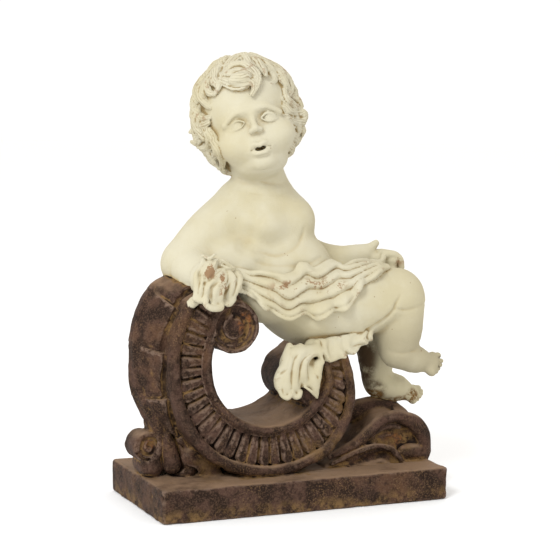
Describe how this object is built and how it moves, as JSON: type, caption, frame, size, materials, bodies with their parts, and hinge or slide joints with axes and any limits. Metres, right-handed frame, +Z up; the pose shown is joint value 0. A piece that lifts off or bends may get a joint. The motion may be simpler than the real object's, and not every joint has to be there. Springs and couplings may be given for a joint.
{
  "type": "angel statuette",
  "caption": "Painted cast statuette of a chubby putto leaning on a fluted C-scroll with leaf ornament, on a low oblong plinth.",
  "frame": {"origin": "centre of the plinth's flat underside", "axes": "+X along the plinth's long side towards the figure's feet, -Y to the front that the figure faces, +Z up"},
  "size_m": [0.3202, 0.1576, 0.4475],
  "materials": {
    "painted_casting": "matt cream paint over the figure, dark brown patina over the scroll and plinth"
  },
  "bodies": {
    "root": {"putto_on_scroll": "painted_casting"}
  },
  "joints": []
}
